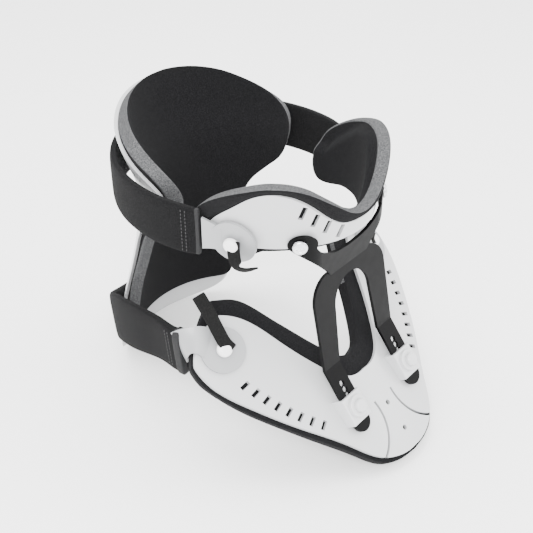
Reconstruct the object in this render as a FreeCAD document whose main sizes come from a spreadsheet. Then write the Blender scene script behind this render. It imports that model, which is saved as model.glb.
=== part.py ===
import FreeCAD, Part
import math
import os

# Open-frame neck brace: a chest plate and a back shell joined by padded straps, with a black yoke
# that stands on the chest plate and carries a chin support.
# Design datum: the line through the two lock buttons. +X is the wearer's left, +Y the wearer's back,
# +Z up. Every piece is drawn from the datum and its Placement lifts it onto the ground frame.

os.makedirs("parts", exist_ok=True)
doc = FreeCAD.newDocument("neck_brace")
V = FreeCAD.Vector
Rot = FreeCAD.Rotation
Pla = FreeCAD.Placement
AXIS_X = V(1, 0, 0)
AXIS_Y = V(0, 1, 0)
AXIS_Z = V(0, 0, 1)
SIDES = {"right": -1, "left": 1}

SIZES = {
    "ground_drop": 60.9,        # datum line above the ground
    "depth_middle": 118.25,      # datum line to the middle of the depth
    "shell_wall": 2.8,
    "foam_wall": 10.0,
    "glue_gap": 0.15,
    "plate_slope": 43.0,
    "plate_drop": 15.4,         # datum line to the crown of the chest plate
    "plate_crown": 350.0,
    "slit_width": 2.0,
    "vent_length": 7.5,
    "vent_width": 3.2,
    "accessory_radius": 2.0,
    "relief_radius": 5.0,
    "clamp_across": 34.0,
    "clamp_width": 20.5,
    "clamp_length": 22.0,
    "strip_wall": 2.5,
    "strip_width": 17.5,
    "strip_tilt": 8.4,
    "strip_gap": 0.25,
    "ring_radius": 8.5,
    "button_radius": 5.2,
    "button_travel": 2.0,
    "arch_lean": 78.0,
    "arch_half": 43.0,
    "hole_half": 21.0,
    "arm_wall": 2.6,
    "arm_depth": 43.4,
    "arm_bend": 16.0,
    "arm_flat": 34.0,
    "eye_across": 46.0,
    "eye_height": 125.0,
    "eye_radius": 7.6,
    "screw_radius": 2.5,
    "screw_head": 5.4,
    "chin_middle": 125.0,
    "tab_radius": 17.0,
    "tab_wall": 2.2,
    "stud_radius": 3.4,
    "cap_radius": 5.8,
    "sleeve_wall": 7.0,
    "sleeve_width": 39.0,
    "back_middle": 160.0,
}

sheet = doc.addObject("Spreadsheet::Sheet", "sizes")
for row, (alias, value) in enumerate(SIZES.items(), start=1):
    sheet.set("A%d" % row, alias)
    sheet.set("B%d" % row, str(value))
    sheet.setAlias("B%d" % row, alias)
doc.recompute()


def size(alias):
    return float(sheet.get(alias))


# ---------------------------------------------------------------- frames

def ground_frame():
    return Pla(V(0, -size("depth_middle"), size("ground_drop")), Rot())


def tilted_frame(origin, degrees):
    """A frame at origin whose own Y climbs towards the back by the given angle."""
    return ground_frame().multiply(Pla(origin, Rot(AXIS_X, degrees)))


def chest_frame():
    slope = math.radians(size("plate_slope"))
    drop = size("plate_drop")
    return tilted_frame(V(0, drop * math.sin(slope), -drop * math.cos(slope)), size("plate_slope"))


def chest_surface_frame(u, v, height=0.0):
    """On the chest plate's face at u across and v up the slope, own Z outwards."""
    lean = math.degrees(math.asin(u / size("plate_crown")))
    middle = Pla(V(0, v, -size("plate_crown")), Rot(AXIS_Y, lean))
    return chest_frame().multiply(middle).multiply(Pla(V(0, 0, size("plate_crown") + height), Rot()))


# ---------------------------------------------------------------- builders

finished = []


def finish_part(obj, label, placement=None):
    obj.Label = label
    if placement is not None:
        obj.Placement = placement
    finished.append(obj)
    return obj


def bind(obj, prop, formula):
    obj.setExpression(prop, formula)


def cylinder(name, radius, height, placement=None):
    obj = doc.addObject("Part::Cylinder", name)
    bind_or_set(obj, "Radius", radius)
    bind_or_set(obj, "Height", height)
    if placement is not None:
        obj.Placement = placement
    return obj


def box(name, length, width, height, placement=None):
    obj = doc.addObject("Part::Box", name)
    bind_or_set(obj, "Length", length)
    bind_or_set(obj, "Width", width)
    bind_or_set(obj, "Height", height)
    if placement is not None:
        obj.Placement = placement
    return obj


def bind_or_set(obj, prop, value):
    """A string is a formula over the size sheet, a number is a fixed local size."""
    if isinstance(value, str):
        obj.setExpression(prop, value)
    else:
        setattr(obj, prop, value)


def cut(name, base, tool):
    obj = doc.addObject("Part::Cut", name)
    obj.Base = base
    obj.Tool = tool
    return obj


def common(name, base, tool):
    obj = doc.addObject("Part::Common", name)
    obj.Base = base
    obj.Tool = tool
    return obj


def fuse(name, shapes):
    obj = doc.addObject("Part::MultiFuse", name)
    obj.Shapes = shapes
    return obj


def copy_of(name, source, placement=None):
    """A feature holding the finished shape of another one, so that both stay whole."""
    doc.recompute()
    obj = doc.addObject("Part::Feature", name)
    obj.Shape = source.Shape.copy()
    if placement is not None:
        obj.Placement = placement
    return obj


def mirrored(name, source):
    doc.recompute()
    obj = doc.addObject("Part::Mirroring", name)
    obj.Source = source
    obj.Base = V(0, 0, 0)
    obj.Normal = AXIS_X
    return obj


def curve(points):
    line = Part.BSplineCurve()
    line.interpolate([V(x, y, 0) for x, y in points])
    return line


def flip(points):
    return [(-x, y) for x, y in reversed(points)]


def sketch(name, curves, placement=None):
    obj = doc.addObject("Sketcher::SketchObject", name)
    for one in curves:
        obj.addGeometry(one, False)
    if placement is not None:
        obj.Placement = placement
    return obj


def polygon(points):
    corners = [V(x, y, 0) for x, y in points]
    return [Part.LineSegment(a, b) for a, b in zip(corners, corners[1:] + corners[:1])]


def extrude(name, profile, low, high):
    """A solid from a flat profile, from low to high along the profile's own normal."""
    obj = doc.addObject("Part::Extrusion", name)
    obj.Base = profile
    obj.DirMode = "Normal"
    obj.LengthFwd = high
    obj.LengthRev = -low
    obj.Solid = True
    return obj


FRONT_VIEW = Rot(AXIS_X, 90)                      # sketch X, Y -> X, Z
SIDE_VIEW = Rot(V(1, 1, 1), 120)                  # sketch X, Y -> Y, Z


# ---------------------------------------------------------------- chest plate and pad

SLIT_POINTS = [(10.8, -9.2), (13.0, -28.0), (31.5, -47.5)]
ACCESSORY_HOLES = [-16.5, -40.0]
VENT_FIRST = (59.5, 2.3)
VENT_LAST = (92.7, 60.7)
VENT_COUNT = 8
CHEST_STUD = (92.0, 91.0)

PLATE_LOWER = [(0, -55.7), (18, -53.3), (32, -46.0), (49.6, -23.4), (74, 9.1), (98.9, 46.2), (113, 76), (114.5, 92)]
PLATE_WING = [(114.5, 92), (109.5, 100), (97, 109.5), (79.6, 113.3)]
PLATE_NECK = [(79.6, 113.3), (65, 99.4), (51.6, 72.1), (34.5, 38.5), (20, 20.5), (0, 15.8)]
PAD_LOWER = [(0, -58.8), (19, -56.3), (35, -48), (53, -25), (77, 6.5), (102, 43.5), (116.3, 74), (118, 92)]
PAD_WING = [(118, 92), (112.5, 100), (103, 108.5), (92, 118), (77.6, 126)]
PAD_NECK = [(77.6, 126), (57.9, 113), (41.5, 82.7), (25.4, 53.7), (12, 34), (0, 29)]


def symmetric_outline(name, runs, placement):
    right = [curve(run) for run in runs]
    left = [curve(flip(run)) for run in reversed(runs)]
    return sketch(name, right + left, placement)


def crowned_wall(name, outline, skin, wall, reach):
    """The part of a crowned wall, its face at skin below the crown, that lies inside an outline."""
    radius = size("plate_crown")
    frame = chest_frame()
    lying = frame.multiply(Pla(V(0, -reach, -radius), Rot(AXIS_X, -90)))
    outer = cylinder(name + "_outer", radius - skin, 2 * reach, lying)
    inner = cylinder(name + "_inner", radius - skin - wall, 2 * reach, lying)
    shell = cut(name + "_shell", outer, inner)
    return common(name + "_blank", extrude(name + "_prism", outline, -60, 20), shell)


def arc_through(a, b, c):
    edge = Part.Arc(a, b, c).toShape()
    if edge.Curve.Axis.z < 0:
        edge = Part.Arc(c, b, a).toShape()
    return Part.ArcOfCircle(edge.Curve, edge.FirstParameter, edge.LastParameter)


def slit_band():
    """A curved slit that runs out past the plate's edge."""
    half = size("slit_width") / 2
    points = [V(x, y, 0) for x, y in SLIT_POINTS]
    middle = Part.Arc(*points).toShape().Curve.Center
    inside = arc_through(*[p + (middle - p).normalize() * half for p in points])
    outside = arc_through(*[p - (middle - p).normalize() * half for p in points])
    return [inside, outside, Part.LineSegment(inside.EndPoint, outside.EndPoint),
            Part.LineSegment(inside.StartPoint, outside.StartPoint)]


def vent_frames():
    """Place and turn of each vent slot in the chest plate's own frame, along one wing."""
    for i in range(VENT_COUNT):
        part = i / (VENT_COUNT - 1)
        u = VENT_FIRST[0] + part * (VENT_LAST[0] - VENT_FIRST[0])
        v = VENT_FIRST[1] + part * (VENT_LAST[1] - VENT_FIRST[1])
        bow = 3.0 * math.sin(math.pi * part)
        yield u + bow * 0.87, v - bow * 0.5, -34 + 27 * part


def chest_cutters():
    frame = chest_frame()
    tools = []
    for side in SIDES.values():
        slit = sketch("slit_%+d" % side, slit_band(), frame if side > 0 else None)
        if side < 0:
            slit_solid = extrude("slit_solid_%+d" % side, slit, -30, 10)
            turned = mirrored("slit_mirror", slit_solid)
            doc.recompute()
            tools.append(copy_of("slit_placed", turned, frame))
        else:
            tools.append(extrude("slit_solid_%+d" % side, slit, -30, 10))
        for i, (u, v, turn) in enumerate(vent_frames()):
            seat = Pla(V(side * u, v, -40), Rot(AXIS_Z, side * turn))
            length, width = size("vent_length"), size("vent_width")
            tools.append(box("vent_%+d_%d" % (side, i), "sizes.vent_length", "sizes.vent_width", 60.0,
                             frame.multiply(seat).multiply(Pla(V(-length / 2, -width / 2, 0), Rot()))))
    for i, v in enumerate(ACCESSORY_HOLES):
        tools.append(cylinder("accessory_hole_%d" % i, "sizes.accessory_radius", 40.0,
                              frame.multiply(Pla(V(0, v, -20), Rot()))))
    for side in SIDES.values():
        tools.append(cylinder("stud_hole_%+d" % side, "sizes.stud_radius + 0.15", 12.0,
                              chest_surface_frame(side * CHEST_STUD[0], CHEST_STUD[1], -6)))
        tools.append(neck_loft("plate_channel_%+d" % side, lower_neck(side), CHANNEL_SIDE, CHANNEL_FACE))
        for i, (u, v) in enumerate(RIVET_PLACES):
            tools.append(cylinder("rivet_hole_%+d_%d" % (side, i), RIVET_RADIUS + 0.01, 12.0,
                                  chest_surface_frame(side * u, v, -6)))
    return tools


def build_chest():
    frame = chest_frame()
    plate = crowned_wall("plate", symmetric_outline("plate_outline", [PLATE_LOWER, PLATE_WING, PLATE_NECK], frame),
                         0.0, size("shell_wall"), 160)
    finish_part(cut("plate_body", plate, fuse("plate_cutters", chest_cutters())), "chest_plate")
    skin = size("shell_wall") + size("glue_gap")
    pad = crowned_wall("chest_foam", symmetric_outline("pad_outline", [PAD_LOWER, PAD_WING, PAD_NECK], frame),
                       skin, size("foam_wall"), 170)
    reliefs = [cylinder("relief_%d" % i, "sizes.relief_radius", 60.0, frame.multiply(Pla(V(0, v, -40), Rot())))
               for i, v in enumerate(ACCESSORY_HOLES)]
    for side in SIDES.values():
        reliefs.append(cylinder("stud_relief_%+d" % side, 7.3, 8.0,
                                chest_surface_frame(side * CHEST_STUD[0], CHEST_STUD[1], -skin - 3)))
        reliefs.append(neck_loft("pad_channel_%+d" % side, lower_neck(side), CHANNEL_SIDE, CHANNEL_FACE))
    finish_part(cut("chest_foam_body", pad, fuse("pad_reliefs", reliefs)), "chest_pad")


# ---------------------------------------------------------------- clamps, lock buttons, lower studs

STRIP_HEIGHT = 5.6            # strip's face above the crown, on the datum line
PASSAGE_LOW = -2.75
PASSAGE_HIGH = 0.25
ROOF_HIGH = 2.8
RING_HIGH = 5.8
BUTTON_LOW = 5.2
BUTTON_HIGH = 9.4
PEG_RADIUS = 2.1
PEG_LOW = 0.35
INDEX_PITCH = 5.0
INDEX_STOPS = range(-2, 5)     # a hole under the peg at every stop, from the lowest to the highest
RIVET_PLACES = [(34.0, -6.5), (34.0, 6.0)]
RIVET_RADIUS = 1.5


def strip_frame():
    return chest_frame().multiply(Pla(V(0, 0, STRIP_HEIGHT), Rot(AXIS_X, size("strip_tilt"))))


def in_strip(x, y, z):
    return strip_frame().multiply(Pla(V(x, y, z), Rot()))


def rounded(name, base, radius, wanted):
    """Fillet the edges of a plain solid that the test picks out."""
    doc.recompute()
    edges = [(i, radius, radius) for i, edge in enumerate(base.Shape.Edges, start=1) if wanted(edge)]
    obj = doc.addObject("Part::Fillet", name)
    obj.Base = base
    obj.Edges = edges
    return obj


def top_edge(frame, height):
    """Test for edges that lie at one height of a frame."""
    back = frame.inverse()
    return lambda edge: all(abs(back.multVec(v.Point).z - height) < 0.01 for v in edge.Vertexes)


def build_clamp(word, side):
    x = side * size("clamp_across")
    width, length = size("clamp_width"), size("clamp_length")
    block = box("clamp_block_" + word, "sizes.clamp_width", "sizes.clamp_length", ROOF_HIGH + 13,
                in_strip(x - width / 2, -length / 2 - 0.8, -13))
    block = rounded("clamp_round_" + word, block, 1.2, top_edge(strip_frame(), ROOF_HIGH))
    ring = cylinder("ring_" + word, "sizes.ring_radius", RING_HIGH, in_strip(x, 0, 0))
    ring = rounded("ring_round_" + word, ring, 1.0, top_edge(strip_frame(), RING_HIGH))
    passage = box("passage_" + word, size("strip_width") + 0.5, 60, PASSAGE_HIGH - PASSAGE_LOW,
                  in_strip(x - size("strip_width") / 2 - 0.25, -30, PASSAGE_LOW))
    well = cylinder("well_" + word, "sizes.button_radius + 0.08", 20, in_strip(x, 0, ROOF_HIGH))
    peg_hole = cylinder("peg_hole_" + word, PEG_RADIUS + 0.08, 6, in_strip(x, 0, -1))
    crown = cylinder("crown_" + word, "sizes.plate_crown + 0.05", 120,
                     chest_frame().multiply(Pla(V(0, -60, -size("plate_crown")), Rot(AXIS_X, -90))))
    rivet_holes = [clamp_rivet("rivet_hole_%s_%d" % (word, i), side * a, b, RIVET_RADIUS)
                   for i, (a, b) in enumerate(RIVET_PLACES)]
    body = fuse("clamp_body_" + word, [block, ring])
    tools = fuse("clamp_tools_" + word, [passage, well, peg_hole, crown] + rivet_holes)
    finish_part(cut("clamp_" + word, body, tools), "clamp_housing_" + word)
    head = cylinder("button_head_" + word, "sizes.button_radius", BUTTON_HIGH - BUTTON_LOW, in_strip(x, 0, BUTTON_LOW))
    head = rounded("button_round_" + word, head, 2.2, top_edge(strip_frame(), BUTTON_HIGH))
    peg = cylinder("button_peg_" + word, PEG_RADIUS, BUTTON_LOW - PEG_LOW + 0.5, in_strip(x, 0, PEG_LOW))
    finish_part(fuse("button_" + word, [head, peg]), "lock_button_" + word)
    washer = cylinder("spring_rim_" + word, 4.9, 0.35, in_strip(x, 0, ROOF_HIGH + 0.02))
    washer_hole = cylinder("spring_eye_" + word, 3.2, 2, in_strip(x, 0, ROOF_HIGH - 1))
    finish_part(cut("spring_" + word, washer, washer_hole), "lock_spring_" + word)


def clamp_rivet(name, u, v, radius):
    frame = chest_surface_frame(u, v, -size("shell_wall") + 0.02)
    return cylinder(name, radius, 4.0, frame)


STUD_SEAT = 0.6              # disc's inner face above the surface that carries the stud
EYE_WALL = 1.2
EYE_GAP = 0.15
CAP_WALL = 4.6
FLANGE_RADIUS = 7.0
FLANGE_WALL = 1.2
CHANNEL_SIDE = 0.6            # free space round the neck where it passes the wing
CHANNEL_FACE = 0.4


def build_stud(prefix, word, frame, wall, seat, cap_gap=EYE_GAP):
    """A flanged stud through a shell wall, with a snap-on round cap over the tab and the pull eye."""
    cap_low = seat + size("tab_wall") + EYE_GAP + EYE_WALL + cap_gap
    stem = cylinder(prefix + "_stem_" + word, "sizes.stud_radius", wall + cap_low + 2.6,
                    frame.multiply(Pla(V(0, 0, -wall - 0.1), Rot())))
    flange = cylinder(prefix + "_flange_" + word, FLANGE_RADIUS, FLANGE_WALL,
                      frame.multiply(Pla(V(0, 0, -wall - 0.1 - FLANGE_WALL), Rot())))
    finish_part(fuse(prefix + "_stud_body_" + word, [stem, flange]), "%s_stud_%s" % (prefix, word))
    dome = cylinder(prefix + "_dome_" + word, "sizes.cap_radius", CAP_WALL, frame.multiply(Pla(V(0, 0, cap_low), Rot())))
    dome = rounded(prefix + "_dome_round_" + word, dome, 3.2, top_edge(frame, cap_low + CAP_WALL))
    bore = cylinder(prefix + "_bore_" + word, "sizes.stud_radius + 0.01", 2.6, frame.multiply(Pla(V(0, 0, cap_low - 0.1), Rot())))
    finish_part(cut(prefix + "_cap_body_" + word, dome, bore), "%s_stud_cap_%s" % (prefix, word))


def build_tab(prefix, word, frame, stations, seat):
    """A keyhole tab: a round disc on the stud and a neck that runs to the strap's front end."""
    disc = cylinder(prefix + "_disc_" + word, "sizes.tab_radius", "sizes.tab_wall", frame.multiply(Pla(V(0, 0, seat), Rot())))
    neck = neck_loft("%s_neck_%s" % (prefix, word), stations)
    hole = cylinder(prefix + "_tab_hole_" + word, "sizes.stud_radius + 0.5", 12, frame.multiply(Pla(V(0, 0, -2), Rot())))
    finish_part(cut(prefix + "_tab_body_" + word, fuse(prefix + "_tab_whole_" + word, [disc, neck]), hole),
                "%s_tab_%s" % (prefix, word))


def neck_loft(name, stations, side_play=0.0, face_play=0.0):
    """A smooth strip through the stations, made larger all round where it is used as a channel."""
    loft = doc.addObject("Part::Loft", name)
    loft.Sections = [section("%s_%d" % (name, i), place, width + 2 * side_play, size("tab_wall"), face_play)
                     for i, (place, width) in enumerate(stations)]
    loft.Solid = True
    return loft


def station(side, place, along, outwards):
    """A neck station on one side: own Y along the strap, own Z away from the wearer."""
    outwards = V(side * outwards.x, outwards.y, outwards.z).normalize()
    along = V(side * along.x, along.y, along.z)
    turn = Rot(along.cross(outwards), along, outwards, "ZYX")
    return ground_frame().multiply(Pla(V(side * place.x, place.y, place.z), turn))


def section(name, placement, width, wall, play=0.0):
    """A flat strip's end: width along own X, wall along own Z, facing own Y."""
    half = width / 2
    profile = sketch(name, polygon([(-half, -play), (half, -play), (half, wall + play), (-half, wall + play)]))
    profile.Placement = placement.multiply(Pla(V(0, 0, 0), Rot(AXIS_X, 90)))
    return profile


def build_pull(prefix, word, frame, seat, turn, length, drop):
    """A short webbing pull: an eye on the stud under the cap and a tail that hangs off the disc."""
    low = seat + size("tab_wall") + EYE_GAP
    place = frame.multiply(Pla(V(0, 0, low), Rot(AXIS_Z, turn)))
    eye = cylinder(prefix + "_pull_eye_" + word, 6.5, EYE_WALL, place)
    tail = box(prefix + "_pull_tail_" + word, 10.0, length, EYE_WALL, place.multiply(Pla(V(-5, 0, 0), Rot())))
    tip = box(prefix + "_pull_tip_" + word, 10.0, drop, EYE_WALL,
              place.multiply(Pla(V(-5, length - 0.8, 0), Rot(AXIS_X, 35))))
    hole = cylinder(prefix + "_pull_hole_" + word, "sizes.stud_radius + 0.5", 12, frame)
    finish_part(cut(prefix + "_pull_body_" + word, fuse(prefix + "_pull_whole_" + word, [eye, tail, tip]), hole),
                "%s_pull_%s" % (prefix, word))


# ---------------------------------------------------------------- straps

def ellipse_wire_solid(name, middle, across, deep, low, high):
    """An upright elliptic prism, across its half width and deep its half depth."""
    disc = doc.addObject("Part::Ellipse", name + "_ring")
    disc.MajorRadius = max(across, deep)
    disc.MinorRadius = min(across, deep)
    disc.Placement = Pla(V(0, middle, 0), Rot(AXIS_Z, 90 if deep > across else 0))
    solid = doc.addObject("Part::Extrusion", name)
    solid.Base = disc
    solid.DirMode = "Custom"
    solid.Dir = AXIS_Z
    solid.LengthFwd = high
    solid.LengthRev = -low
    solid.Solid = True
    return solid


def strap_ring(name, middle, across, deep, wall, low, high):
    outer = ellipse_wire_solid(name + "_outer", middle, across, deep, low, high)
    inner = ellipse_wire_solid(name + "_inner", middle, across - wall, deep - wall, low - 1, high + 1)
    return cut(name + "_ring_wall", outer, inner)


def build_straps(prefix, ring, side_outline, necks):
    """Left and right sleeves: the ring inside a side-view outline, open at the back's middle and for the tabs."""
    prism = extrude(prefix + "_strap_side", sketch(prefix + "_strap_outline", side_outline, Pla(V(0, 0, 0), SIDE_VIEW)),
                    -130, 130)
    band = common(prefix + "_strap_band", ring, prism)
    for word, side in SIDES.items():
        low = REAR_GAP / 2 if side > 0 else -130
        half = box("%s_half_%s" % (prefix, word), 130 - REAR_GAP / 2, 400, 400, Pla(V(low, -50, -150), Rot()))
        sleeve = common("%s_strap_half_%s" % (prefix, word), band, half)
        sleeve.Placement = ground_frame()
        pocket = neck_loft("%s_pocket_%s" % (prefix, word), necks(side), CHANNEL_SIDE, CHANNEL_FACE)
        finish_part(cut("%s_strap_body_%s" % (prefix, word), sleeve, pocket), "%s_strap_%s" % (prefix, word))


def shell_seat(name, play):
    """The back shell's outer form, made larger by a play, for the pieces that rest on it."""
    grown = size("foam_wall") + size("glue_gap") + size("shell_wall")
    return ellipse_loft(name, BACK_LEVELS, -grown - play, seam=-90)


LOWER_STRAP_MIDDLE = 140.0
LOWER_STRAP_ACROSS = 104.5
LOWER_STRAP_DEEP = 126.0
UPPER_STRAP_MIDDLE = 150.0
UPPER_STRAP_ACROSS = 92.0
UPPER_STRAP_DEEP = 102.0
LOWER_TOP_EDGE = [(117, 54.5), (142, 52), (175, 45), (205, 32), (235, 8), (262, -17), (275, -24)]
LOWER_BOTTOM_EDGE = [(275, -60.5), (262, -59), (232, -38), (205, -17), (172, -1), (138, 11.5), (112, 17)]
UPPER_STRAP_OUTLINE = [(113, 107.5), (275, 107.5), (275, 147), (110, 147)]
REAR_GAP = 20.0


# ---------------------------------------------------------------- lofted shells

def ellipse_loft(name, levels, inset, seam=90):
    """A closed solid through upright ellipses given as height, middle, half width, half depth."""
    rings = []
    for i, (height, middle, across, deep) in enumerate(levels):
        ring = doc.addObject("Part::Ellipse", "%s_%d" % (name, i))
        ring.MajorRadius = deep - inset + 0.001
        ring.MinorRadius = across - inset
        ring.Placement = Pla(V(0, middle, height), Rot(AXIS_Z, seam))
        rings.append(ring)
    loft = doc.addObject("Part::Loft", name)
    loft.Sections = rings
    loft.Solid = True
    return loft


def lofted_wall(name, levels, inset, wall, seam=90):
    return cut(name + "_wall", ellipse_loft(name + "_outer", levels, inset, seam),
               ellipse_loft(name + "_inner", stretched(levels), inset + wall, seam))


def stretched(levels):
    """The same levels with the end ones moved out, so that a cutter passes both faces."""
    first, last = list(levels[0]), list(levels[-1])
    first[0] -= 0.5
    last[0] += 0.5
    return [tuple(first)] + list(levels[1:-1]) + [tuple(last)]


def side_prism(name, curves, reach=140):
    return extrude(name, sketch(name + "_outline", curves, Pla(V(0, 0, 0), SIDE_VIEW)), -reach, reach)


def front_prism(name, curves, placement=None):
    place = Pla(V(0, 0, 0), FRONT_VIEW) if placement is None else placement
    return extrude(name, sketch(name + "_outline", curves, place), -320, 60)


# ---------------------------------------------------------------- back shell and pad

BACK_LEVELS = [(-75, 160, 86, 86), (-40, 160, 83, 83), (20, 158, 75.5, 75.5), (60, 157, 66, 66), (92, 158, 60, 60),
               (124, 160, 58.7, 58.7), (151, 160, 67.4, 67.4), (172, 160.5, 71.5, 71.5), (195, 161, 75, 75)]
PAD_SIDE_EDGE = [(300, 186.5), (236, 184.5), (227, 180), (213, 175), (202, 170.5), (190, 166), (178, 161.5), (167, 156),
                 (157, 149.5), (150, 140), (149, 126), (156, 113), (172, 99), (187, 85), (195, 70), (203, 44), (210, 16),
                 (215, -8), (218, -25), (224, -33), (240, -35.5), (300, -36.5)]
SHELL_SIDE_EDGE = [(300, 175.5), (236, 173.5), (222, 167.5), (205, 161), (187, 153), (170, 145), (160, 136.5),
                   (158, 127), (163, 116), (176, 104), (193, 88), (202, 72), (210, 44), (217, 16), (222, -8), (226, -34),
                   (231, -50), (243, -58.5), (264, -60.7), (300, -60.9)]
SHELL_WINDOW = [(224, 46), (233, 44), (237, 34), (239, 14), (237, 4), (230, 2), (224, 12), (220, 32), (224, 46)]


def back_piece(name, levels, inset, wall, side_edge):
    rows = lofted_wall(name, levels, inset, wall, seam=-90)
    outline = [curve(side_edge)] + polygon([side_edge[-1], side_edge[0]])[:1]
    return common(name + "_side_cut", rows, side_prism(name + "_side", outline))


def rear_half(name, base):
    """Only the half of a closed wall that lies behind the neck opening."""
    return common(name, base, box(name + "_rear", 300, 200, 320, Pla(V(-150, 140, -90), Rot())))


def build_back():
    foam = size("foam_wall")
    grown = foam + size("glue_gap")
    pad = back_piece("back_foam", BACK_LEVELS, -foam, foam, PAD_SIDE_EDGE)
    finish_part(rear_half("back_foam_body", pad), "back_pad", ground_frame())
    shell = back_piece("back_hard", BACK_LEVELS, -grown - size("shell_wall"), size("shell_wall"),
                       SHELL_SIDE_EDGE)
    window = side_prism("back_window", [curve(SHELL_WINDOW)])
    finish_part(cut("back_hard_open", rear_half("back_hard_rear", shell), window), "back_shell", ground_frame())
    for word, (half, near, far, low, high) in KEEPERS.items():
        block = box("keeper_block_" + word, 2 * half, far - near, high - low, Pla(V(-half, near, low), Rot()))
        inside = shell_seat("keeper_seat_" + word, 0.1)
        finish_part(cut("keeper_" + word, block, inside), "strap_keeper_" + word, ground_frame())


KEEPERS = {                   # half width, front, back, bottom, top
    "lower": (9.6, 246, 267, -54, -30),
    "upper": (8.0, 222, 250, 116, 138),
}


# ---------------------------------------------------------------- chin shell and pad

CHIN_LEVELS = [(105, 125, 71.5, 86.5), (120, 125, 73.8, 89.8), (140, 125, 76.5, 93.0), (178, 125, 81.0, 98.0)]
CHIN_SHELL_TOP = [(20, 130), (34, 133.5), (40, 143), (46, 154), (54, 162.5), (64, 165.5), (76, 162), (90, 151.5),
                  (104, 140), (112, 131)]
CHIN_SHELL_LOW = [(112, 131), (110, 121.5), (100, 119), (75, 119), (48, 120.5), (20, 121)]
CHIN_PAD_TOP = [(20, 134), (36, 137), (42.2, 144), (44.6, 150), (48.9, 157.5), (54.7, 165), (60.8, 169.3),
                (67, 170.8), (76.2, 170), (90, 164.5), (101, 158), (112, 149.5), (119, 141), (123.5, 130)]
CHIN_PAD_LOW = [(123.5, 130), (124.5, 120), (121, 110), (114, 106.5), (103, 107.5), (85, 113), (60, 116.5), (20, 117)]
CHIN_VENTS = [(47.2, 150.5), (39.7, 143.4), (31.4, 136.2), (20.7, 129.3)]


def closed_side(upper, lower):
    return [curve(upper), curve(lower), *polygon([lower[-1], upper[0]])[:1]]


def chin_surface_frame(x, height, outwards=0.0):
    """On the chin shell's outer face at a half width and height, own Z outwards, own Y up."""
    level = chin_level(height)
    middle, across, deep = level
    y = middle - deep * math.sqrt(1 - (x / across) ** 2)
    normal = V(x / across ** 2, (y - middle) / deep ** 2, 0).normalize()
    sideways = AXIS_Z.cross(normal)
    turn = Rot(sideways, AXIS_Z, normal, "ZYX")
    return ground_frame().multiply(Pla(V(x, y, height) + normal * outwards, turn))


def chin_level(height):
    for low, high in zip(CHIN_LEVELS, CHIN_LEVELS[1:]):
        if low[0] <= height <= high[0]:
            part = (height - low[0]) / (high[0] - low[0])
            return [a + part * (b - a) for a, b in zip(low[1:], high[1:])]
    raise ValueError("height is outside the chin shell")


CHIN_STUD = (69.0, 123.5)
CHIN_STUD_SEAT = 1.6
CHIN_STUD_LEAN = 7.7          # the stud stands square to the shell, which leans outwards with height
CHIN_FLANGE_PLAY = 0.5
CHIN_CAP_GAP = 0.8
NUT_SEAT = 0.9
SPACER_SEAT = 0.8
PIVOT_PLAY = 0.85             # free space on each side of the yoke's eye


def chin_stud_frame(side, outwards=0.0):
    frame = chin_surface_frame(side * CHIN_STUD[0], CHIN_STUD[1])
    return frame.multiply(Pla(V(0, 0, 0), Rot(AXIS_X, CHIN_STUD_LEAN))).multiply(Pla(V(0, 0, outwards), Rot()))


def front_half(name, base):
    return common(name, base, box(name + "_front", 300, 128, 120, Pla(V(-150, 0, 80), Rot())))


def build_chin():
    wall = size("shell_wall")
    shell = common("chin_hard_side", lofted_wall("chin_hard", CHIN_LEVELS, 0.0, wall),
                   side_prism("chin_hard_prism", closed_side(CHIN_SHELL_TOP, CHIN_SHELL_LOW)))
    shell = front_half("chin_hard_front", shell)
    shell.Placement = ground_frame()
    tools = []
    for side in SIDES.values():
        for i, (x, height) in enumerate(CHIN_VENTS):
            seat = chin_surface_frame(side * x, height, -10).multiply(Pla(V(0, 0, 0), Rot(AXIS_Z, 19 * side)))
            tools.append(box("chin_vent_%+d_%d" % (side, i), 3.6, 10.6, 20.0, seat.multiply(Pla(V(-1.8, -5.3, 0), Rot()))))
        tools.append(cylinder("chin_stud_hole_%+d" % side, "sizes.stud_radius + 0.15", 12,
                              chin_stud_frame(side, -8)))
        tools.append(cylinder("chin_screw_hole_%+d" % side, "sizes.screw_radius + 0.1", 12,
                              chin_surface_frame(side * size("eye_across"), size("eye_height"), -8)))
    finish_part(cut("chin_hard_body", shell, fuse("chin_tools", tools)), "chin_shell")
    inset = wall + size("glue_gap")
    pad = common("chin_foam_side", lofted_wall("chin_foam", CHIN_LEVELS, inset, size("foam_wall")),
                 side_prism("chin_foam_prism", closed_side(CHIN_PAD_TOP, CHIN_PAD_LOW)))
    pad = front_half("chin_foam_front", pad)
    pad.Placement = ground_frame()
    reliefs = [cylinder("chin_relief_%+d" % side, FLANGE_RADIUS + 0.3, 6.0,
                        chin_stud_frame(side, -inset - 3)) for side in SIDES.values()]
    reliefs += [cylinder("nut_relief_%+d" % side, 5.3, 7.0,
                         chin_surface_frame(side * size("eye_across"), size("eye_height"), -inset - 4))
                for side in SIDES.values()]
    finish_part(cut("chin_foam_body", pad, fuse("chin_reliefs", reliefs)), "chin_pad")


# ---------------------------------------------------------------- yoke

ARCH_TOP = 73.5
CREASE_UP = 34.9
STRIP_END = -20.7
CREASE_LAP = 0.6             # each run carries on this far past the crease line
ARM_OUTLINE_TOP = [(0, 106.5), (14, 107.5), (24, 110), (33, 115), (37.5, 119.5), (41.5, 131)]
ARM_OUTLINE_LOW = [(50.5, 118.5), (42, 110.5), (31, 100), (22, 90.5)]
EYE_TURN = 44.0


def arch_frame():
    crease = strip_frame().multVec(V(0, CREASE_UP, 0))
    crease = ground_frame().inverse().multVec(crease)
    return tilted_frame(V(0, crease.y, crease.z), size("arch_lean"))


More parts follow.
